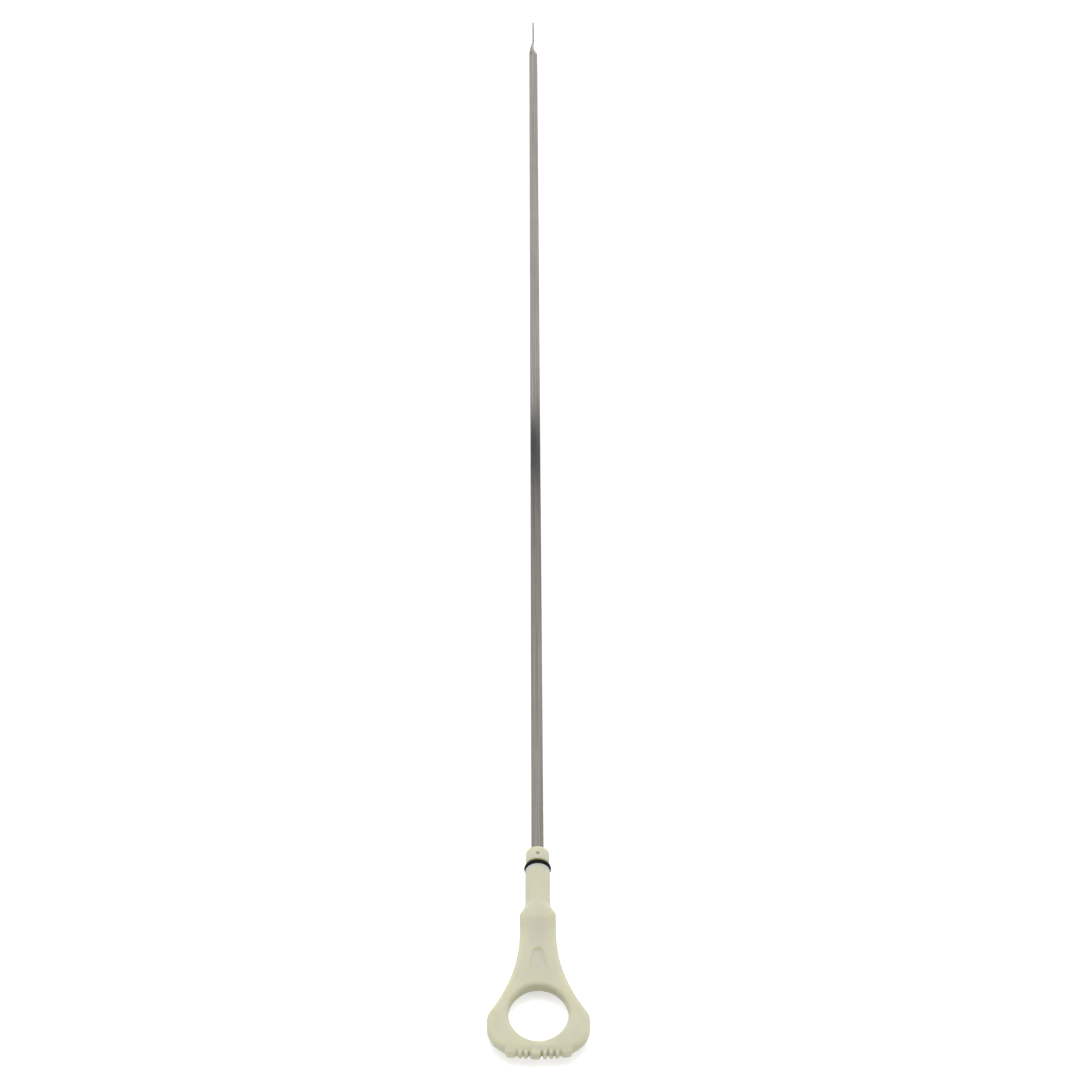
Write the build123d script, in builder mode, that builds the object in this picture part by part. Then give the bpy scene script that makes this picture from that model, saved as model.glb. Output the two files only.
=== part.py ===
from build123d import *
from math import atan2, degrees, sqrt, tan
import os

# Engine oil dipstick: a moulded handle with a rubber seal on a flat spring-steel blade.
# It lies along Y with its front face up, the handle towards -Y and the blade towards +Y.
# The origin is on the stem's axis, at the foot of the shoulder that meets the guide tube.
# Lengths are in millimetres and angles in degrees.

# Blade strip with its moulded-in tang and its twisted tip
blade_width = 5.0
blade_thickness = 1.0
blade_edge_round = 0.3
tang_depth = 36.0
flat_run = 644.4
twist_length = 12.0
twist_angle = 90.0
twist_sections = 5
tip_land = 2.2
tip_end_flat = 1.0
level_notch_depth = 0.6
level_notch_spacing = 20.0
level_notch_inset = 5.0

# Stem, nose and seal
stem_diameter = 9.7
stem_length = 18.8
seal_section = 2.0
seal_facets = 8
seal_clearance = 0.8
groove_depth = 1.5
nose_relief = 0.125
nose_length = 6.7
nose_chamfer = 0.8
dimple_diameter = 1.6
dimple_depth = 0.9
dimple_place = 2.7

# Shoulder and neck, by how far they stand out from the stem
shoulder_length = 4.3
shoulder_overhang = 2.15
shoulder_foot_chamfer = 1.1
shoulder_step = 0.1
neck_overhang = 0.75
neck_length = 8.6
crest_round = 4.0
scoop_length = 12.8

# Arched recess on the front face
recess_gap = 0.6
recess_length = 10.0
recess_base_width = 6.4
recess_top_round = 1.8
recess_base_round = 1.2
recess_depth = 0.8
recess_base_depth = 0.4
recess_draft = 40.0

# Grip plate around its oval finger hole
grip_thickness = 5.8
grip_edge_flat = 1.0
grip_web = 6.9
finger_hole_width = 22.6
finger_hole_length = 25.3
finger_hole_end_radius = 9.7
finger_hole_chamfer = 1.0
rim_flat = 1.15
side_rim = 7.9
flank_lead = 4.0
grip_upper_radius = 6.4
grip_side_length = 3.4
grip_lower_radius = 11.5

# Raised ribs across the end of the grip
rib_wide = 3.7
rib_narrow = 1.35
rib_gap = 0.95
rib_rise = 1.3
rib_root = 2.5
rib_tip_radius = 70.0
rib_inset = 0.7

os.makedirs("parts", exist_ok=True)

# Places along the blade and the stem
groove_width = seal_section + seal_clearance
groove_end = stem_length + groove_width
nose_end = groove_end + nose_length
tang_end = nose_end - tang_depth
twist_start = nose_end + flat_run
tip_start = twist_start + twist_length
tip_length = tip_land + level_notch_spacing + level_notch_inset
tip_end = tip_start + tip_length
low_notch = tip_end - level_notch_inset
tip_round = (blade_width - tip_end_flat) / 2
notch_side = level_notch_depth * sqrt(2)

# Radii of the stem, and sizes of the shoulder and neck around it
stem_radius = stem_diameter / 2
groove_radius = stem_radius - groove_depth
nose_radius = stem_radius - nose_relief
neck_half_width = stem_radius + shoulder_overhang
neck_half_thickness = stem_radius + neck_overhang
shoulder_angle = atan2(shoulder_overhang, shoulder_length)
shoulder_top = 2 * shoulder_foot_chamfer

# Places along the grip, one after the other
grip_edge_round = (grip_thickness - grip_edge_flat) / 2
end_rim = finger_hole_chamfer + rim_flat + grip_edge_round
scoop_end = -neck_length - scoop_length
recess_start = scoop_end - recess_gap
hole_start = recess_start - recess_length - grip_web
hole_centre = hole_start - finger_hole_length / 2
grip_end = hole_start - finger_hole_length - end_rim

# Grip outline: straight end, lower corner, straight side, upper corner and flank, all tangent
grip_half_width = finger_hole_width / 2 + side_rim
flank_start = -neck_length - flank_lead
lower_centre = Vector(grip_half_width - grip_lower_radius, grip_end + grip_lower_radius)
upper_centre = Vector(grip_half_width - grip_upper_radius, lower_centre.Y + grip_side_length)
flank_drop = flank_start - upper_centre.Y
flank_reach = upper_centre.X - neck_half_width
flank_radius = (flank_drop**2 + flank_reach**2 - grip_upper_radius**2) / 2
flank_radius /= grip_half_width - neck_half_width
flank_centre = Vector(neck_half_width + flank_radius, flank_start)
flank_meet = upper_centre + (flank_centre - upper_centre).normalized() * grip_upper_radius
end_meet = Vector(lower_centre.X, grip_end)

# Finger hole outline: side arcs and end arcs, tangent where they meet
hole_half_width = finger_hole_width / 2
hole_end_centre = Vector(0, hole_start - finger_hole_end_radius)
hole_rise = hole_end_centre.Y - hole_centre
hole_side_radius = (hole_half_width**2 + hole_rise**2 - finger_hole_end_radius**2) / 2
hole_side_radius /= hole_half_width - finger_hole_end_radius
hole_side_centre = Vector(hole_half_width - hole_side_radius, hole_centre)
hole_meet = hole_end_centre + (hole_end_centre - hole_side_centre).normalized() * finger_hole_end_radius

# Ribs in order from -X to +X
rib_widths = [rib_wide, rib_narrow, rib_narrow, rib_wide, rib_narrow, rib_narrow, rib_narrow, rib_wide]
rib_span = sum(rib_widths) + rib_gap * (len(rib_widths) - 1)


def blade_section(place, turn):
    """Plane across the stick at a place along Y, turned about the stick's axis."""
    across = Vector(1, 0, 0).rotate(Axis.Y, turn)
    return Plane(origin=(0, place, 0), x_dir=across, z_dir=(0, 1, 0))


# Blade: the upright tip, the flat strip, and the quarter twist that joins them
with BuildPart() as blade:
    with BuildSketch(blade_section(tip_start, twist_angle)):
        RectangleRounded(blade_width, blade_thickness, blade_edge_round)
    extrude(amount=tip_length)
    # Rounded end, and oil level notches in both edges
    with BuildSketch(Plane.YZ) as tip_outline:
        with Locations((tip_end, 0)):
            Rectangle(2 * tip_length, blade_width, align=(Align.MAX, Align.CENTER))
        fillet(tip_outline.vertices().group_by(Axis.X)[-1], tip_round)
        for notch in (low_notch, low_notch - level_notch_spacing):
            with Locations((notch, blade_width / 2), (notch, -blade_width / 2)):
                Rectangle(notch_side, notch_side, rotation=45, mode=Mode.SUBTRACT)
    extrude(amount=blade_width, both=True, mode=Mode.INTERSECT)
    with BuildSketch(blade_section(tang_end, 0)):
        RectangleRounded(blade_width, blade_thickness, blade_edge_round)
    extrude(amount=twist_start - tang_end)
    for step in range(twist_sections):
        share = step / (twist_sections - 1)
        with BuildSketch(blade_section(twist_start + share * twist_length, share * twist_angle)):
            RectangleRounded(blade_width, blade_thickness, blade_edge_round)
    loft()

# Handle: one moulding from the nose to the grip, around the blade's tang
with BuildPart() as handle:
    # Grip and neck: the outline from above, cut to the side profile
    with BuildSketch(Plane.XY):
        with BuildLine():
            neck_front = (neck_half_width, shoulder_top)
            neck = Polyline((0, shoulder_top), neck_front, (neck_half_width, flank_start))
            flank = TangentArc(neck @ 1, flank_meet, tangent=(0, -1))
            upper = TangentArc(flank @ 1, (grip_half_width, upper_centre.Y), tangent=flank % 1)
            side = Line(upper @ 1, (grip_half_width, lower_centre.Y))
            TangentArc(side @ 1, end_meet, tangent=side % 1)
            mirror(about=Plane.YZ)
            Line(end_meet, (-end_meet.X, end_meet.Y))
        make_face()
    extrude(amount=neck_half_thickness, both=True)
    with BuildSketch(Plane.YZ) as profile:
        with BuildLine():
            crest = (-neck_length, neck_half_thickness)
            trough = (scoop_end, grip_thickness / 2)
            Polyline((stem_length, 0), (stem_length, neck_half_thickness), crest)
            TangentArc(trough, crest, tangent=(1, 0))
            Polyline(trough, (grip_end - rib_root, grip_thickness / 2), (grip_end - rib_root, 0))
            mirror(about=Plane.XZ)
        make_face()
        for corner in (crest, (crest[0], -crest[1])):
            fillet(profile.vertices().sort_by_distance(corner)[0], crest_round)
    extrude(amount=2 * grip_half_width, both=True, mode=Mode.INTERSECT)
    rims = handle.edges().filter_by(Axis.Z, reverse=True).filter_by(Axis.X, reverse=True)
    end_edges = handle.edges().filter_by(Axis.X).group_by(Axis.Y)[0]
    fillet(rims + end_edges, grip_edge_round)
    # Front and back of the shoulder, which slope down to the stem
    with BuildSketch(Plane.YZ):
        with BuildLine():
            brow = (-shoulder_length, neck_half_thickness)
            slope_foot = (shoulder_foot_chamfer, stem_radius + shoulder_step)
            Polyline(brow, (shoulder_foot_chamfer, neck_half_thickness), slope_foot, close=True)
        make_face()
        mirror(about=Plane.XZ)
    extrude(amount=neck_half_width, both=True, mode=Mode.SUBTRACT)
    # Shoulder: a cone that grows out of the stem trims the front of the neck
    with BuildSketch(Plane.XY) as shoulder:
        with BuildLine():
            foot = (stem_radius, 0)
            cone_far = grip_end - rib_root
            cone_radius = stem_radius - cone_far * tan(shoulder_angle)
            Polyline((0, shoulder_top), (stem_radius, shoulder_top), foot, (cone_radius, cone_far))
            Polyline((cone_radius, cone_far), (0, cone_far), (0, shoulder_top))
        make_face()
        chamfer(shoulder.vertices().sort_by_distance(foot)[0], shoulder_foot_chamfer)
    revolve(axis=Axis.Y, mode=Mode.INTERSECT)
    # Stem with its seal groove and bevelled nose
    with BuildSketch(Plane.XY) as stem:
        with BuildLine():
            rear_lip = (stem_radius, stem_length)
            groove_floor = Line((groove_radius, stem_length), (groove_radius, groove_end))
            nose_corner = (nose_radius, nose_end)
            Polyline((0, nose_end), (0, 0), (stem_radius, 0), rear_lip, groove_floor @ 0)
            Polyline(groove_floor @ 1, (nose_radius, groove_end), nose_corner, (0, nose_end))
        make_face()
        chamfer(stem.vertices().sort_by_distance(nose_corner)[0], nose_chamfer)
    revolve(axis=Axis.Y)
    # Oval finger hole with bevelled rims
    with BuildSketch(Plane.XY):
        with BuildLine():
            hole_side = TangentArc((hole_half_width, hole_centre), hole_meet, tangent=(0, 1))
            TangentArc(hole_side @ 1, (0, hole_start), tangent=hole_side % 1)
            mirror(about=Plane.YZ)
            mirror(about=Plane.XZ.offset(-hole_centre))
        make_face()
    extrude(amount=neck_half_thickness, both=True, mode=Mode.SUBTRACT)
    chamfer(handle.edges(Select.LAST).filter_by(GeomType.CIRCLE), finger_hole_chamfer)
    # Ribs that stand out from the end, their tips on an arc
    with BuildSketch(Plane.XY) as ribs:
        rib_start = -rib_span / 2
        for width in rib_widths:
            with Locations((rib_start, grip_end)):
                Rectangle(width, 2 * rib_root, align=(Align.MIN, Align.CENTER))
            rib_start += width + rib_gap
        with Locations((0, grip_end - rib_rise + rib_tip_radius)):
            Circle(rib_tip_radius, mode=Mode.INTERSECT)
    extrude(amount=grip_thickness / 2 - rib_inset, both=True)
    # Arched recess with drafted walls, and a floor that rises towards its base
    recess_tilt = -degrees(atan2(recess_depth - recess_base_depth, recess_length))
    recess_floor = Plane(
        origin=(0, recess_start, grip_thickness / 2 - recess_depth),
        x_dir=(1, 0, 0),
        z_dir=Vector(0, 0, 1).rotate(Axis.X, recess_tilt),
    )
    with BuildSketch(recess_floor):
        with Locations((0, -recess_top_round)):
            Circle(recess_top_round)
        base_x = recess_base_width / 2 - recess_base_round
        base_y = recess_base_round - recess_length
        with Locations((-base_x, base_y), (base_x, base_y)):
            Circle(recess_base_round)
        make_hull()
    extrude(amount=2 * recess_depth, taper=-recess_draft, mode=Mode.SUBTRACT)
    # Locating dimple on the nose
    with Locations((0, groove_end + dimple_place, nose_radius)):
        Hole(dimple_diameter / 2, dimple_depth)
    add(blade.part, mode=Mode.SUBTRACT)

# Rubber seal, seated on the floor and the rear wall of its groove
with BuildPart() as o_ring:
    with BuildSketch(Plane.XY):
        with Locations((groove_radius + seal_section / 2, stem_length + seal_section / 2)):
            RegularPolygon(seal_section / 2, seal_facets, major_radius=False, rotation=180 / seal_facets)
    revolve(axis=Axis.Y)

blade.part.label = "blade"
handle.part.label = "handle"
o_ring.part.label = "o_ring"
export_step(blade.part, "parts/blade.step")
export_step(handle.part, "parts/handle.step")
export_step(o_ring.part, "parts/o_ring.step")
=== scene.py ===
"""Engine oil dipstick: finishes for its handle, blade and seal, and the studio around it.

Lengths are in metres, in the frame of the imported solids: the stick lies along Y with its handle towards -Y.
"""

import math

import bmesh
import bpy
from bpy.props import FloatProperty, FloatVectorProperty, IntProperty, PointerProperty
from mathutils import Matrix, Vector


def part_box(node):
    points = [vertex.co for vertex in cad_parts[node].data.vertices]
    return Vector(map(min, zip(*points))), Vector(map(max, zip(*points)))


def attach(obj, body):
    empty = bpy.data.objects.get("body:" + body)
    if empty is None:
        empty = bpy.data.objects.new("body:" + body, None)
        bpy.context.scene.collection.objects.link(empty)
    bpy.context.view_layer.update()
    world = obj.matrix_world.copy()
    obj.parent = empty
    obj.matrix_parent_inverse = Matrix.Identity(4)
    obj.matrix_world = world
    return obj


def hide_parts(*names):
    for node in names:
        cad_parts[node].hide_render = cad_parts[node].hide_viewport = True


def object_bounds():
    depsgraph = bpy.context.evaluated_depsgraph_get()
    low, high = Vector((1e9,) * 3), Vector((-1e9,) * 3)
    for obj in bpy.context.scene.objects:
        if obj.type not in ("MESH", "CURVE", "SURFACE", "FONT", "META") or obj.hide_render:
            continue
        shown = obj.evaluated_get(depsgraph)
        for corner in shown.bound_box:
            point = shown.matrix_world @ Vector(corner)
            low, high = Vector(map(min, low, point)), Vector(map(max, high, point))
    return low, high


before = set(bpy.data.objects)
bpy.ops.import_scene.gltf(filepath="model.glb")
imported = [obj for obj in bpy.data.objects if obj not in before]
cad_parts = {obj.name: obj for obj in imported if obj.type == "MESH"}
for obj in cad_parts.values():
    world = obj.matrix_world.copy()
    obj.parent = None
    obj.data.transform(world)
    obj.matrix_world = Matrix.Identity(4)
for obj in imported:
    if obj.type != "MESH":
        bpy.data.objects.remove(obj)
cad_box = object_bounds()

bl_info = {
    "name": "Engine oil dipstick",
    "version": (1, 0, 0),
    "blender": (4, 5, 0),
    "location": "3D View > Sidebar > Dipstick",
    "description": "Finishes the pieces of an engine oil dipstick and sets up its studio",
    "category": "Object",
}

MM = 0.001

# Places and sizes of the solids that their boxes don't give
FINGER_HOLE = (Vector((-0.0113, -0.0642, 0)), Vector((0.0113, -0.0389, 0)))
RECESS_MIDDLE = Vector((0, -0.027, 0))
SHOULDER_MIDDLE = Vector((0, -0.0015, 0))
BLADE_THICKNESS = 1 * MM
SLOT_OVERLAP = 0.25 * MM

# Levels of noise or openness between which a mask goes from 0 to 1
CLOUD_SPAN = (0.34, 0.66)
STREAK_SPAN = (0.36, 0.64)
NEARNESS_SPAN = (1.0, 0.15)
MASK_SPAN = (0.0, 1.0)

# Parts of a direction, along Y and across it, over which one wall of the studio turns into the next
NEAR_TO_FAR = (-0.3, 0.5)
WALL_TO_SIDE = (0.4, 0.9)

# Share of round cells in the fine grain, next to plain noise
CELL_SHARE = 0.4

# How far each material bends light
NYLON_IOR = 1.53
RUBBER_IOR = 1.52


# Property helpers


def colour(name, description, default):
    """A colour that a user may change."""
    return FloatVectorProperty(
        name=name, description=description, default=default, subtype="COLOR", size=3, min=0, max=1
    )


def length(name, description, default):
    """A length in metres that a user may change."""
    return FloatProperty(
        name=name, description=description, default=default, unit="LENGTH", subtype="DISTANCE", min=0,
        precision=5,
    )


def share(name, description, default):
    """A share from 0 to 1 that a user may change."""
    return FloatProperty(name=name, description=description, default=default, subtype="FACTOR", min=0, max=1)


def angle(name, description, default):
    """An angle, given in degrees, that a user may change."""
    return FloatProperty(
        name=name, description=description, default=math.radians(default), unit="ROTATION", subtype="ANGLE"
    )


def passes(name, description, default):
    """A number of passes that a user may change."""
    return IntProperty(name=name, description=description, default=default, min=0, max=200)


def steps(name, description, default):
    """A number of steps round a circle that a user may change."""
    return IntProperty(name=name, description=description, default=default, min=12, max=360)


def level(name, description, default):
    """A light level that a user may change."""
    return FloatProperty(name=name, description=description, default=default, min=0)


# Settings of the pieces and the stage


class HandleFinish(bpy.types.PropertyGroup):
    """Looks of the moulded nylon handle"""

    ivory: colour("Ivory", "Main colour of the natural nylon", (0.622, 0.614, 0.49))
    ivory_warm: colour("Warm ivory", "Colour of the slightly yellowed clouds", (0.606, 0.592, 0.462))
    # Painted shade: the corner mask lays this colour into the hollows, the rib gaps, the seal groove and the
    # dimple, where shade falls.
    corner: colour("Corner shade", "Colour of the deep corners and the dimple", (0.42, 0.39, 0.205))
    cloud_size: length("Cloud size", "Size of the clouds in the colour", 9 * MM)
    grain_size: length("Grain size", "Size of the moulded surface grain", 0.35 * MM)
    grain_height: length("Grain height", "Height of the moulded surface grain", 0.012 * MM)
    corner_reach: length("Corner reach", "How far the corner shade spreads", 1.2 * MM)
    smoothest: share("Smoothest", "Lowest roughness of the satin surface", 0.38)
    roughest: share("Roughest", "Highest roughness of the satin surface", 0.47)
    gloss: share("Gloss", "Strength of the satin reflections", 0.3)
    glow: share("Glow", "Share of light that passes into the nylon", 0.8)
    glow_depth: length("Glow depth", "How far light spreads in the nylon", 6 * MM)
    glow_tint: colour("Glow tint", "Share of that depth for red, green and blue light", (1.0, 0.92, 0.25))
    slot_cover: length("Slot cover", "How deep the blade's slot stays open at the nose", 0.3 * MM)
    mesh_pitch: length("Mesh pitch", "Spacing of the moulding's fine mesh", 0.25 * MM)
    mesh_share: share("Mesh share", "Share of the fine mesh that is kept", 0.25)
    edge_passes: passes("Edge passes", "How often all edges are softened", 5)
    rim_passes: passes("Rim passes", "How often the rim of the finger hole is softened", 70)
    rim_reach: length("Rim reach", "How far the soft rim reaches from the finger hole", 3 * MM)
    shoulder_passes: passes("Shoulder passes", "How often the shoulder is softened", 26)
    shoulder_reach: length("Shoulder reach", "How far the soft shoulder reaches from its middle", 7 * MM)
    recess_passes: passes("Recess passes", "How often the edges of the arched recess are softened", 12)
    recess_reach: length("Recess reach", "How far the soft recess reaches from its middle", 14 * MM)
    rib_passes: passes("Rib passes", "How often the end and the gaps between its ribs are softened", 50)
    rib_reach: length("Rib reach", "How far the soft end reaches from the tips of its ribs", 6 * MM)
    rib_height: length("Rib height", "How far the ribs stand out from the end", 1.3 * MM)
    rib_tip_share: share("Rib tip share", "Share of that softening at the tips of the ribs", 0.45)


class BladeFinish(bpy.types.PropertyGroup):
    """Looks of the spring steel blade"""

    steel: colour("Steel", "Main colour of the bare steel", (0.62, 0.585, 0.535))
    steel_dark: colour("Dark streak", "Colour of the darker streaks along the blade", (0.445, 0.42, 0.385))
    slit_edge: colour("Slit edge", "Colour of the darker cut edges", (0.3, 0.28, 0.25))
    streak_width: length("Streak width", "Width of the rolling streaks", 0.55 * MM)
    streak_length: length("Streak length", "Length of the rolling streaks", 90 * MM)
    streak_height: length("Streak height", "Height of the rolling streaks", 0.003 * MM)
    stain_size: length("Stain size", "Size of the faint stains", 14 * MM)
    stain_share: share("Stain share", "How far the stains show among the streaks", 0.12)
    edge_reach: length("Edge reach", "Width of the darker band along the edges", 0.35 * MM)
    smoothest: share("Smoothest", "Lowest roughness of the rolled surface", 0.07)
    roughest: share("Roughest", "Highest roughness of the rolled surface", 0.15)
    stretch: share("Stretch", "How far highlights stretch across the blade", 0.95)


class SealFinish(bpy.types.PropertyGroup):
    """Shape and looks of the rubber seal"""

    ring_steps: steps("Ring steps", "Steps round the ring", 144)
    section_steps: steps("Section steps", "Steps round the ring's section", 32)
    rubber: colour("Rubber", "Main colour of the rubber", (0.006, 0.006, 0.0065))
    bloom: colour("Bloom", "Colour of the faint grey bloom", (0.012, 0.012, 0.0125))
    bloom_size: length("Bloom size", "Size of the bloom's clouds", 2.5 * MM)
    grain_size: length("Grain size", "Size of the rubber's grain", 0.12 * MM)
    grain_height: length("Grain height", "Height of the rubber's grain", 0.006 * MM)
    smoothest: share("Smoothest", "Lowest roughness of the rubber", 0.4)
    roughest: share("Roughest", "Highest roughness of the rubber", 0.57)
    shine: share("Shine", "Strength of the rubber's sheen", 0.12)


class StudioSetup(bpy.types.PropertyGroup):
    """Floor, light and camera"""

    paper: colour("Paper", "Colour of the pale floor", (0.86, 0.86, 0.86))
    paper_spread: share("Paper spread", "How much lighter the floor's faint clouds are", 0.01)
    cloud_size: length("Cloud size", "Size of the floor's faint clouds", 0.25)
    paper_reach: length("Floor reach", "Distance from the middle of the floor to its sides", 40.0)
    paper_lift: level("Floor lift", "Light that the seen floor adds to its own colour", 0.5)
    paper_shine: level("Floor shine", "Light that the reflected floor adds to its own colour", 0.1)
    rest_edge: FloatProperty(
        name="Rest edge", description="Place along the stick where the neck lies on the floor",
        default=-4.3 * MM, unit="LENGTH", precision=5,
    )
    tip_inset: length("Tip inset", "Distance from the end of the tip to where it lies on the floor", 2 * MM)
    lamp_level: level("Lamp level", "Strength of the soft overhead lamp", 1.2)
    lamp_spread: angle("Lamp spread", "Angle that the soft lamp fills", 36)
    lamp_lean: angle("Lamp lean", "How far the lamp leans towards the tip", 16)
    top_level: level("Overhead level", "Brightness of the studio overhead", 1.25)
    top_lean: level("Overhead lean", "How far the overhead light leans towards the tip", 0.15)
    top_start: angle("Overhead start", "Elevation where the walls begin to turn into the overhead light", 57)
    top_end: angle("Overhead end", "Elevation where the overhead light is full", 69)
    foot_level: level("Far foot level", "Brightness of the far wall below its dark gap", 0.64)
    brow_level: level("Far brow level", "Brightness of the far wall just above its dark gap", 0.4)
    far_level: level("Far wall level", "Brightness of the far wall well above its dark gap", 0.55)
    brow_end: angle("Far brow end", "Elevation where the far wall has its full level", 44)
    near_level: level("Near wall level", "Brightness of the studio behind the handle", 0.28)
    side_level: level("Side wall level", "Brightness of the studio to the left and right", 0.85)
    horizon_level: level("Horizon level", "Brightness of the near wall along the horizon", 1.0)
    horizon_start: angle("Horizon start", "Elevation where the near wall begins to dim", 4)
    horizon_end: angle("Horizon end", "Elevation where the near wall has dimmed", 14)
    gap: level("Gap level", "Brightness of the dark gap in the far wall", 0.06)
    gap_tint: colour("Gap tint", "Tint of the dark gap", (0.72, 0.83, 1.0))
    gap_start: angle("Gap start", "Elevation where the dark gap begins", 37.4)
    gap_middle: angle("Gap middle", "Elevation where the gap is darkest", 38.5)
    gap_end: angle("Gap end", "Elevation where the gap has faded", 40.2)
    camera_place: FloatVectorProperty(
        name="Camera place", description="Place of the camera", default=(-0.00195, -0.5678, 0.685),
        size=3, unit="LENGTH", subtype="TRANSLATION", precision=5,
    )
    camera_tilt: angle("Camera tilt", "Angle of the camera up from straight down", 48.94)
    camera_turn: angle("Camera turn", "Turn of the camera about the vertical", -0.282)
    camera_lens: FloatProperty(
        name="Lens", description="Focal length of the camera", default=75, unit="CAMERA", min=1
    )


# Node helpers


def add_node(tree, kind, place, **settings):
    """A node of a kind, with its own settings."""
    node = tree.nodes.new("ShaderNode" + kind)
    node.location = place
    for name, value in settings.items():
        setattr(node, name, value)
    return node


def fill(node, **values):
    """Sets inputs by name, with _ for a space."""
    for name, value in values.items():
        node.inputs[name.replace("_", " ")].default_value = value
    return node


def feed(tree, value, socket):
    """Links a value to an input where it is a socket, and sets the input to it where it is a plain one."""
    if isinstance(value, bpy.types.NodeSocket):
        tree.links.new(value, socket)
    else:
        socket.default_value = value


def math_of(tree, place, operation, *values):
    """What a sum, product or the like makes of its values."""
    node = add_node(tree, "Math", place, operation=operation)
    for value, socket in zip(values, node.inputs):
        feed(tree, value, socket)
    return node.outputs[0]


def ramp(tree, place, value, span, low, high, kind="SMOOTHSTEP"):
    """What goes from low to high while a value crosses a span."""
    node = add_node(tree, "MapRange", place, interpolation_type=kind)
    fill(node, From_Min=span[0], From_Max=span[1])
    feed(tree, value, node.inputs["Value"])
    feed(tree, low, node.inputs["To Min"])
    feed(tree, high, node.inputs["To Max"])
    return node.outputs["Result"]


def mix_values(tree, place, first, second, part):
    """A value between two, with a given share of the second."""
    mix = fill(add_node(tree, "Mix", place, data_type="FLOAT"), Factor=part)
    tree.links.new(first, mix.inputs["A"])
    tree.links.new(second, mix.inputs["B"])
    return mix.outputs["Result"]


def mix_colours(tree, place, first, second, mask):
    """A colour between two, each a plain colour or a socket, by a mask."""
    mix = add_node(tree, "Mix", place, data_type="RGBA")
    tree.links.new(mask, mix.inputs["Factor"])
    for name, value in (("A", first), ("B", second)):
        socket = next(item for item in mix.inputs if item.name == name and item.type == "RGBA")
        plain = not isinstance(value, bpy.types.NodeSocket)
        feed(tree, (*value, 1) if plain else value, socket)
    return next(item for item in mix.outputs if item.type == "RGBA")


def new_group(name, inputs, outputs):
    """An empty shader node group with its sockets. Returns the group and its input and output nodes."""
    group = bpy.data.node_groups.new(name, "ShaderNodeTree")
    for way, sockets in (("INPUT", inputs), ("OUTPUT", outputs)):
        for title, kind in sockets:
            group.interface.new_socket(title, in_out=way, socket_type="NodeSocket" + kind)
    source = group.nodes.new("NodeGroupInput")
    source.location = (-700, 0)
    target = group.nodes.new("NodeGroupOutput")
    target.location = (500, 0)
    return group, source, target


def place_group(tree, group, place):
    """A node that uses a group."""
    node = tree.nodes.new("ShaderNodeGroup")
    node.node_tree = group
    node.location = place
    return node


def cloud_group():
    """Soft clouds of a given size, as a mask from 0 to 1."""
    name = "Soft clouds"
    if name in bpy.data.node_groups:
        return bpy.data.node_groups[name]
    group, source, target = new_group(name, [("Vector", "Vector"), ("Size", "Float")], [("Clouds", "Float")])
    scale = math_of(group, (-500, -120), "DIVIDE", 1, source.outputs["Size"])
    noise = fill(add_node(group, "TexNoise", (-300, 0)), Detail=4, Roughness=0.55, Distortion=0.3)
    group.links.new(source.outputs["Vector"], noise.inputs["Vector"])
    group.links.new(scale, noise.inputs["Scale"])
    clouds = ramp(group, (-100, 0), noise.outputs["Fac"], CLOUD_SPAN, 0, 1)
    group.links.new(clouds, target.inputs["Clouds"])
    return group


def grain_group():
    """Fine even grain, as a height from 0 to 1."""
    name = "Fine grain"
    if name in bpy.data.node_groups:
        return bpy.data.node_groups[name]
    group, source, target = new_group(name, [("Vector", "Vector"), ("Size", "Float")], [("Height", "Float")])
    scale = math_of(group, (-500, -120), "DIVIDE", 1, source.outputs["Size"])
    fine = fill(add_node(group, "TexNoise", (-300, 100)), Detail=3, Roughness=0.6)
    cells = fill(add_node(group, "TexVoronoi", (-300, -150), feature="SMOOTH_F1"), Smoothness=0.6)
    for texture in (fine, cells):
        group.links.new(source.outputs["Vector"], texture.inputs["Vector"])
        group.links.new(scale, texture.inputs["Scale"])
    grain = mix_values(group, (-60, 0), fine.outputs["Fac"], cells.outputs["Distance"], CELL_SHARE)
    group.links.new(grain, target.inputs["Height"])
    return group


def nearness_group(name, inside):
    """Mask of what lies close to a surface: corners where inside is false, and edges where it is true."""
    if name in bpy.data.node_groups:
        return bpy.data.node_groups[name]
    group, source, target = new_group(name, [("Reach", "Float")], [("Mask", "Float")])
    near = add_node(group, "AmbientOcclusion", (-400, 0), samples=12, inside=inside, only_local=True)
    group.links.new(source.outputs["Reach"], near.inputs["Distance"])
    mask = ramp(group, (0, 0), near.outputs["AO"], NEARNESS_SPAN, 0, 1)
    group.links.new(mask, target.inputs["Mask"])
    return group


def clouds_of(tree, place, vector, size):
    """The mask of the soft clouds group."""
    node = fill(place_group(tree, cloud_group(), place), Size=size)
    tree.links.new(vector, node.inputs["Vector"])
    return node.outputs["Clouds"]


def grain_of(tree, place, vector, size):
    """The height of the fine grain group."""
    node = fill(place_group(tree, grain_group(), place), Size=size)
    tree.links.new(vector, node.inputs["Vector"])
    return node.outputs["Height"]


def painted_corner_shade_of(tree, place, reach):
    """The mask of corners and hollows, where the nylon gets its painted shade."""
    return fill(place_group(tree, nearness_group("Corner shade", False), place), Reach=reach).outputs["Mask"]


def edges_of(tree, place, reach):
    """The mask of edges that stand out."""
    return fill(place_group(tree, nearness_group("Edge mask", True), place), Reach=reach).outputs["Mask"]


def bump_of(tree, place, height, distance):
    """A bump of a given height, in metres."""
    bump = fill(add_node(tree, "Bump", place), Strength=1.0, Distance=distance)
    tree.links.new(height, bump.inputs["Height"])
    return bump.outputs["Normal"]


# Finishes


def new_material(name):
    """A new material. Returns it with its tree, its shader and its object coordinates."""
    material = bpy.data.materials.new(name)
    material.use_nodes = True
    tree = material.node_tree
    shader = tree.nodes["Principled BSDF"]
    shader.location = (600, 0)
    tree.nodes["Material Output"].location = (900, 0)
    coordinates = add_node(tree, "TexCoord", (-900, 0)).outputs["Object"]
    return material, tree, shader, coordinates


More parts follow.
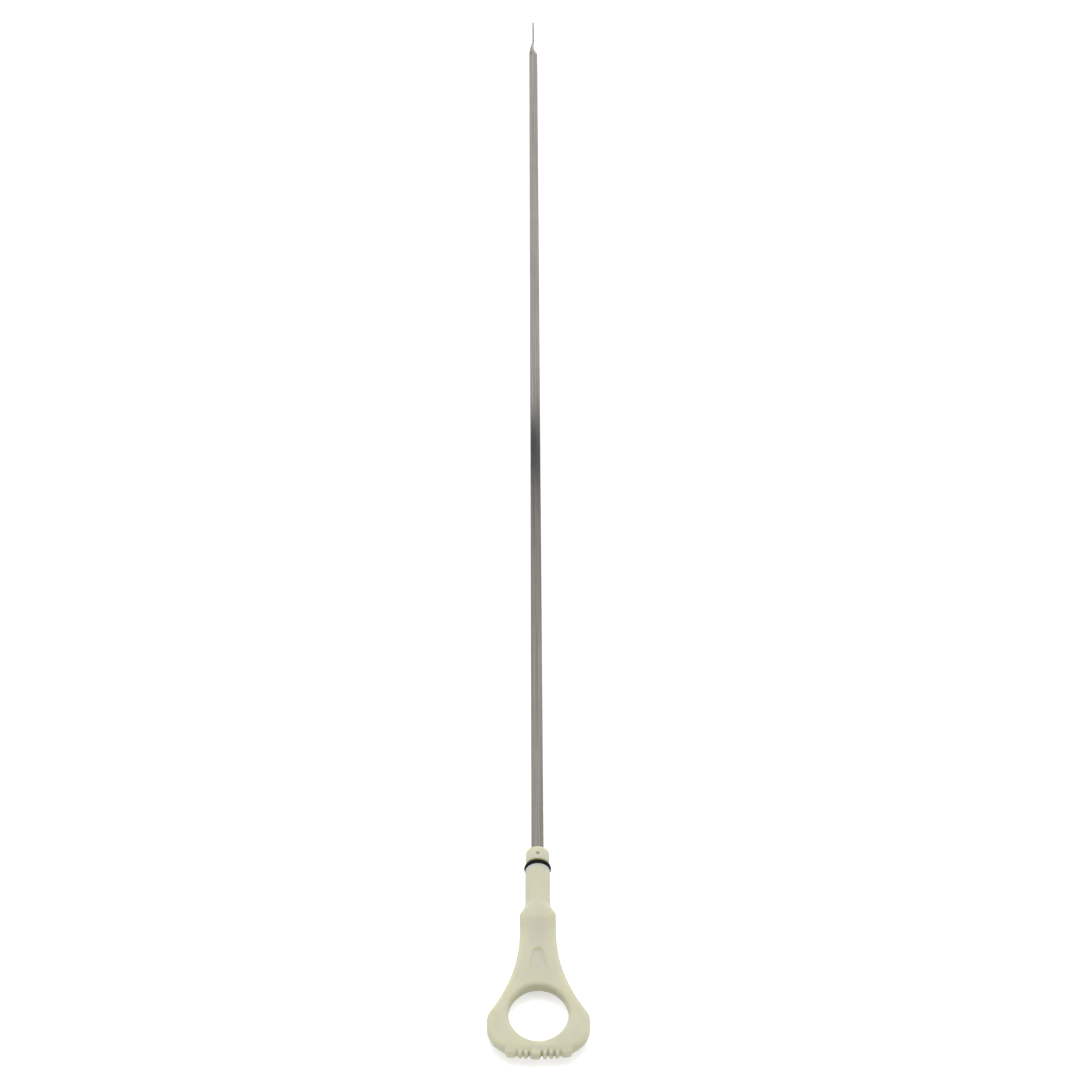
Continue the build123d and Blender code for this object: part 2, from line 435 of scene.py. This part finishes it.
def wire(tree, shader, **sockets):
    """Links sockets to a shader's inputs by name, with _ for a space."""
    for name, socket in sockets.items():
        tree.links.new(socket, shader.inputs[name.replace("_", " ")])


def nylon_material(finish):
    """Natural ivory nylon: faint yellowed clouds, satin moulded grain and painted shade in its corners and
    hollows.
    """
    material, tree, shader, coordinates = new_material("ivory_nylon")
    clouds = clouds_of(tree, (-650, 200), coordinates, finish.cloud_size)
    # Painted shade: the corner mask darkens the hollows and gaps towards the corner colour.
    corners = painted_corner_shade_of(tree, (-650, 0), finish.corner_reach)
    grain = grain_of(tree, (-650, -250), coordinates, finish.grain_size)
    ivory = mix_colours(tree, (-300, 200), finish.ivory, finish.ivory_warm, clouds)
    wire(
        tree,
        shader,
        Base_Color=mix_colours(tree, (-50, 200), ivory, finish.corner, corners),
        Roughness=ramp(tree, (-50, -20), clouds, MASK_SPAN, finish.smoothest, finish.roughest, "LINEAR"),
        Normal=bump_of(tree, (0, -300), grain, finish.grain_height),
    )
    fill(shader, IOR=NYLON_IOR, Specular_IOR_Level=finish.gloss)
    fill(shader, Subsurface_Weight=finish.glow, Subsurface_Scale=finish.glow_depth)
    fill(shader, Subsurface_Radius=finish.glow_tint)
    return material


def steel_material(finish):
    """Bare spring steel: streaks along the rolling direction, faint stains and darker cut edges."""
    material, tree, shader, coordinates = new_material("rolled_steel")
    across = 1 / finish.streak_width
    drawn = fill(add_node(tree, "Mapping", (-700, 200)), Scale=(across, 1 / finish.streak_length, across))
    tree.links.new(coordinates, drawn.inputs["Vector"])
    noise = fill(add_node(tree, "TexNoise", (-500, 200)), Scale=1.0, Detail=5, Roughness=0.65)
    tree.links.new(drawn.outputs["Vector"], noise.inputs["Vector"])
    streaks = ramp(tree, (-280, 250), noise.outputs["Fac"], STREAK_SPAN, 0, 1)
    stains = clouds_of(tree, (-500, -60), coordinates, finish.stain_size)
    edges = edges_of(tree, (-500, -250), finish.edge_reach)
    marks = mix_values(tree, (-80, 120), streaks, stains, finish.stain_share)
    steel = mix_colours(tree, (120, 200), finish.steel, finish.steel_dark, marks)
    tangent = add_node(tree, "Tangent", (350, -500), direction_type="RADIAL", axis="Y")
    wire(
        tree,
        shader,
        Base_Color=mix_colours(tree, (350, 200), steel, finish.slit_edge, edges),
        Roughness=ramp(tree, (350, -20), marks, MASK_SPAN, finish.smoothest, finish.roughest, "LINEAR"),
        Normal=bump_of(tree, (350, -300), noise.outputs["Fac"], finish.streak_height),
        Tangent=tangent.outputs["Tangent"],
    )
    fill(shader, Metallic=1.0, Anisotropic=finish.stretch)
    return material


def rubber_material(finish):
    """Black rubber with a faint grey bloom and a fine grain."""
    material, tree, shader, coordinates = new_material("black_rubber")
    clouds = clouds_of(tree, (-650, 200), coordinates, finish.bloom_size)
    grain = grain_of(tree, (-650, -250), coordinates, finish.grain_size)
    wire(
        tree,
        shader,
        Base_Color=mix_colours(tree, (-300, 200), finish.rubber, finish.bloom, clouds),
        Roughness=ramp(tree, (-50, -20), clouds, MASK_SPAN, finish.smoothest, finish.roughest, "LINEAR"),
        Normal=bump_of(tree, (0, -300), grain, finish.grain_height),
    )
    fill(shader, IOR=RUBBER_IOR, Specular_IOR_Level=finish.shine)
    return material


def paper_material(studio):
    """Pale paper with faint clouds, which adds light of its own where it is seen or reflected."""
    material, tree, shader, coordinates = new_material("pale_paper")
    clouds = clouds_of(tree, (-650, 100), coordinates, studio.cloud_size)
    lighter = tuple(min(1.0, part + studio.paper_spread) for part in studio.paper)
    ray = add_node(tree, "LightPath", (-900, -300)).outputs
    mirrored = math_of(tree, (-650, -400), "MAXIMUM", ray["Is Glossy Ray"], ray["Is Transmission Ray"])
    shine = math_of(tree, (-450, -400), "MULTIPLY", mirrored, studio.paper_shine)
    wire(
        tree,
        shader,
        Base_Color=mix_colours(tree, (-150, 100), studio.paper, lighter, clouds),
        Emission_Strength=math_of(
            tree, (-250, -300), "MULTIPLY_ADD", ray["Is Camera Ray"], studio.paper_lift, shine
        ),
    )
    fill(shader, Roughness=1.0, Specular_IOR_Level=0.0, Emission_Color=(1, 1, 1, 1))
    return material


def dress_node(node, material):
    """Gives a CAD node a finish through its object's slot, so that its mesh stays as imported from model.glb.
    """
    slot = node.material_slots[0]
    slot.link = "OBJECT"
    slot.material = material


# Pieces


def new_piece(scene, name, mesh):
    """An object in the scene with a mesh, whose working copy is freed."""
    data = bpy.data.meshes.new(name)
    mesh.to_mesh(data)
    mesh.free()
    piece = bpy.data.objects.new(name, data)
    scene.collection.objects.link(piece)
    return piece


def work_in_modifiers(context, piece):
    """Works a piece's modifiers into its mesh."""
    mesh = bpy.data.meshes.new_from_object(piece.evaluated_get(context.evaluated_depsgraph_get()))
    if not mesh.polygons:
        raise RuntimeError("no faces are left in " + piece.name)
    piece.data = mesh
    piece.modifiers.clear()


def fade(distance, reach):
    """1 up to half of a reach, and from there down to 0 at its end."""
    return min(1.0, max(0.0, 2 - 2 * distance / reach))


def rim_share(point, finish):
    """How far a point belongs to the rim of the finger hole."""
    low, high = FINGER_HOLE
    middle, half = (low + high) / 2, (high - low) / 2
    ring = Vector(((point.x - middle.x) / half.x, (point.y - middle.y) / half.y)).length
    return fade(abs(ring - 1) * half.x, finish.rim_reach)


def shoulder_share(point, finish):
    """How far a point belongs to the shoulder."""
    return fade(abs(point.y - SHOULDER_MIDDLE.y), finish.shoulder_reach)


def recess_share(point, finish):
    """How far a point belongs to the arched recess on the front face."""
    return fade((point.xy - RECESS_MIDDLE.xy).length, finish.recess_reach) if point.z > 0 else 0.0


def rib_share(point, finish):
    """How far a point belongs to the end with its ribs, and less so at their tips."""
    rise = point.y - cad_box[0].y
    depth = min(1.0, rise / finish.rib_height)
    return fade(rise, finish.rib_reach) * (finish.rib_tip_share + (1 - finish.rib_tip_share) * depth)


def soften(piece, finish, name, passes_made, share_of=None):
    """Adds a softening of a piece's edges, everywhere or by each point's share."""
    smooth = piece.modifiers.new(name, "SMOOTH")
    smooth.factor = 0.5
    smooth.iterations = passes_made
    if share_of:
        zone = piece.vertex_groups.new(name=name)
        for vertex in piece.data.vertices:
            part = share_of(vertex.co, finish)
            if part:
                zone.add([vertex.index], part, "REPLACE")
        smooth.vertex_group = zone.name


def fill_slot(mesh, finish):
    """Adds a block to the handle's mesh that fills the blade's slot behind its mouth."""
    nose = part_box("handle")[1].y - finish.slot_cover
    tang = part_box("blade")[0].y
    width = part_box("blade")[1].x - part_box("blade")[0].x
    size = Vector((width + SLOT_OVERLAP, nose - tang, BLADE_THICKNESS + SLOT_OVERLAP))
    middle = Vector((0, (nose + tang) / 2, 0))
    bmesh.ops.create_cube(mesh, size=1, matrix=Matrix.LocRotScale(middle, None, size))


def soft_moulding(context, finish):
    """The handle's solid with its edges rounded as a mould leaves them."""
    mesh = bmesh.new()
    mesh.from_mesh(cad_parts["handle"].data)
    fill_slot(mesh, finish)
    moulding = new_piece(context.scene, "handle_moulding", mesh)
    remesh = moulding.modifiers.new("even_mesh", "REMESH")
    remesh.mode = "VOXEL"
    remesh.voxel_size = finish.mesh_pitch
    work_in_modifiers(context, moulding)
    soften(moulding, finish, "soft_edges", finish.edge_passes)
    soften(moulding, finish, "soft_rim", finish.rim_passes, rim_share)
    soften(moulding, finish, "soft_shoulder", finish.shoulder_passes, shoulder_share)
    soften(moulding, finish, "soft_recess", finish.recess_passes, recess_share)
    soften(moulding, finish, "soft_ribs", finish.rib_passes, rib_share)
    fewer = moulding.modifiers.new("fewer_faces", "DECIMATE")
    fewer.ratio = finish.mesh_share
    work_in_modifiers(context, moulding)
    moulding.vertex_groups.clear()
    moulding.data.shade_smooth()
    return moulding


def round_seal(context, finish):
    """A ring with a round section, in the place that the seal's solid holds."""
    low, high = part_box("o_ring")
    middle = (low + high) / 2
    section = (high.y - low.y) / 2
    ring = (high.x - low.x) / 2 - section
    if ring <= section:
        raise RuntimeError("the seal's box is no ring")
    mesh = bmesh.new()
    rows = []
    for step in range(finish.ring_steps):
        turn = math.tau * step / finish.ring_steps
        row = []
        for part in range(finish.section_steps):
            lean = math.tau * part / finish.section_steps
            reach = ring + section * math.cos(lean)
            along = Vector((reach * math.cos(turn), section * math.sin(lean), reach * math.sin(turn)))
            row.append(mesh.verts.new(middle + along))
        rows.append(row)
    for step, row in enumerate(rows):
        before = rows[step - 1]
        for part, corner in enumerate(row):
            mesh.faces.new((corner, row[part - 1], before[part - 1], before[part])).smooth = True
    bmesh.ops.recalc_face_normals(mesh, faces=mesh.faces)
    return new_piece(context.scene, "seal_ring", mesh)


# Stage


def lay_floor(scene, studio):
    """A pale floor that carries the neck's underside and the tip, as the stick comes to rest on it."""
    neck_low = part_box("handle")[0].z
    tip_low, tip_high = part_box("blade")
    rise = tip_low.z - neck_low
    run = tip_high.y - studio.tip_inset - studio.rest_edge
    mesh = bmesh.new()
    bmesh.ops.create_grid(mesh, x_segments=1, y_segments=1, size=studio.paper_reach)
    floor = new_piece(scene, "studio_floor", mesh)
    floor.data.materials.append(paper_material(studio))
    floor.location = (0, studio.rest_edge, neck_low)
    floor.rotation_euler = (math.atan2(rise, run), 0, 0)


def hang_lamp(scene, studio):
    """A wide soft lamp overhead, which shows in no reflection."""
    data = bpy.data.lights.new("soft_lamp", "SUN")
    data.energy = studio.lamp_level
    data.angle = studio.lamp_spread
    lamp = bpy.data.objects.new("soft_lamp", data)
    lamp.rotation_euler = (-studio.lamp_lean, 0, 0)
    lamp.visible_glossy = False
    scene.collection.objects.link(lamp)


def light_far_wall(tree, studio, height):
    """The far wall's brightness by elevation, and how far each elevation is clear of its dark gap."""
    into_gap = (studio.gap_start, studio.gap_middle)
    out_of_gap = (studio.gap_middle, studio.gap_end)
    below = ramp(tree, (-800, 600), height, into_gap, 1, 0)
    above = ramp(tree, (-800, 350), height, out_of_gap, 0, 1)
    clear = math_of(tree, (-600, 500), "MAXIMUM", below, above)
    brow = (studio.gap_end, studio.brow_end)
    upper = ramp(tree, (-800, 100), height, brow, studio.brow_level, studio.far_level, "LINEAR")
    lit = ramp(tree, (-600, 150), height, into_gap, studio.foot_level, upper)
    return ramp(tree, (-400, 300), clear, MASK_SPAN, studio.gap, lit, "LINEAR"), clear


def light_studio(scene, studio):
    """A pale studio all round, with a dark gap between the lights of its far wall."""
    world = bpy.data.worlds.new("pale_studio")
    world.use_nodes = True
    scene.world = world
    tree = world.node_tree
    direction = add_node(tree, "SeparateXYZ", (-1200, 0))
    around = add_node(tree, "TexCoord", (-1400, 0)).outputs["Generated"]
    tree.links.new(around, direction.inputs["Vector"])
    along = direction.outputs["Y"]
    height = math_of(tree, (-1000, 200), "ARCSINE", direction.outputs["Z"])
    aside = math_of(tree, (-1000, 0), "ABSOLUTE", direction.outputs["X"])
    leaning = math_of(tree, (-1000, -200), "MULTIPLY_ADD", along, studio.top_lean, height)
    far_wall, clear = light_far_wall(tree, studio, height)
    horizon = (studio.horizon_start, studio.horizon_end)
    near_wall = ramp(tree, (-800, -150), height, horizon, studio.horizon_level, studio.near_level)
    wall = ramp(tree, (-200, 100), along, NEAR_TO_FAR, near_wall, far_wall)
    walls = ramp(tree, (0, 0), aside, WALL_TO_SIDE, wall, studio.side_level)
    top = (studio.top_start, studio.top_end)
    whole = ramp(tree, (200, -100), leaning, top, walls, studio.top_level)
    tint = mix_colours(tree, (200, 300), studio.gap_tint, (1, 1, 1), clear)
    background = tree.nodes["Background"]
    background.location = (450, 100)
    tree.nodes["World Output"].location = (650, 100)
    wire(tree, background, Color=tint, Strength=whole)


def set_camera(scene, studio):
    """A camera at the photo's viewing angle."""
    data = bpy.data.cameras.new("photo_camera")
    data.lens = studio.camera_lens
    data.sensor_width = 36
    data.sensor_fit = "HORIZONTAL"
    data.clip_start = 0.01
    data.clip_end = 200
    camera = bpy.data.objects.new("photo_camera", data)
    camera.location = studio.camera_place
    camera.rotation_euler = (studio.camera_tilt, 0, studio.camera_turn)
    scene.collection.objects.link(camera)
    scene.camera = camera


# Operators


class DIPSTICK_OT_handle(bpy.types.Operator):
    """Finish the moulded handle in ivory nylon"""

    bl_idname = "dipstick.handle"
    bl_label = "Finish handle"

    def execute(self, context):
        """Puts a softened moulding in the place of the handle's solid."""
        finish = context.scene.dipstick_handle
        moulding = soft_moulding(context, finish)
        moulding.data.materials.append(nylon_material(finish))
        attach(moulding, "root")
        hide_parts("handle")
        return {"FINISHED"}


class DIPSTICK_OT_blade(bpy.types.Operator):
    """Finish the blade in rolled spring steel"""

    bl_idname = "dipstick.blade"
    bl_label = "Finish blade"

    def execute(self, context):
        """Keeps the blade's solid and gives it its finish."""
        dress_node(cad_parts["blade"], steel_material(context.scene.dipstick_blade))
        return {"FINISHED"}


class DIPSTICK_OT_seal(bpy.types.Operator):
    """Make the round rubber seal in its groove"""

    bl_idname = "dipstick.seal"
    bl_label = "Make seal"

    def execute(self, context):
        """Puts a round ring in the place of the seal's solid."""
        finish = context.scene.dipstick_seal
        seal = round_seal(context, finish)
        seal.data.materials.append(rubber_material(finish))
        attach(seal, "root")
        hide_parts("o_ring")
        return {"FINISHED"}


class DIPSTICK_OT_stage(bpy.types.Operator):
    """Lay the pale floor, light the studio and set the camera"""

    bl_idname = "dipstick.stage"
    bl_label = "Set stage"

    def execute(self, context):
        """Makes the floor, the light and the camera."""
        studio = context.scene.dipstick_studio
        lay_floor(context.scene, studio)
        hang_lamp(context.scene, studio)
        light_studio(context.scene, studio)
        set_camera(context.scene, studio)
        context.scene.view_settings.view_transform = "Standard"
        return {"FINISHED"}


# Panel and registration

OPERATORS = (DIPSTICK_OT_handle, DIPSTICK_OT_blade, DIPSTICK_OT_seal, DIPSTICK_OT_stage)
SETTINGS = {
    "dipstick_handle": HandleFinish,
    "dipstick_blade": BladeFinish,
    "dipstick_seal": SealFinish,
    "dipstick_studio": StudioSetup,
}


class DIPSTICK_PT_pieces(bpy.types.Panel):
    """Lists the pieces with their sizes and colours"""

    bl_idname = "DIPSTICK_PT_pieces"
    bl_label = "Dipstick"
    bl_space_type = "VIEW_3D"
    bl_region_type = "UI"
    bl_category = "Dipstick"

    def draw(self, context):
        """Shows a box for each operator, with its button and its settings."""
        for operator, name in zip(OPERATORS, SETTINGS):
            box = self.layout.box()
            box.operator(operator.bl_idname)
            settings = getattr(context.scene, name)
            for prop in SETTINGS[name].__annotations__:
                box.prop(settings, prop)


def register():
    """Adds the settings, the operators and the panel to Blender."""
    for kind in (*SETTINGS.values(), *OPERATORS, DIPSTICK_PT_pieces):
        bpy.utils.register_class(kind)
    for name, kind in SETTINGS.items():
        setattr(bpy.types.Scene, name, PointerProperty(type=kind))


def unregister():
    """Takes the settings, the operators and the panel out of Blender."""
    for name in SETTINGS:
        delattr(bpy.types.Scene, name)
    for kind in (DIPSTICK_PT_pieces, *OPERATORS, *SETTINGS.values()):
        bpy.utils.unregister_class(kind)


def main():
    """Builds the pieces and the stage."""
    register()
    bpy.ops.dipstick.handle()
    bpy.ops.dipstick.blade()
    bpy.ops.dipstick.seal()
    bpy.ops.dipstick.stage()


if __name__ == "__main__":
    main()
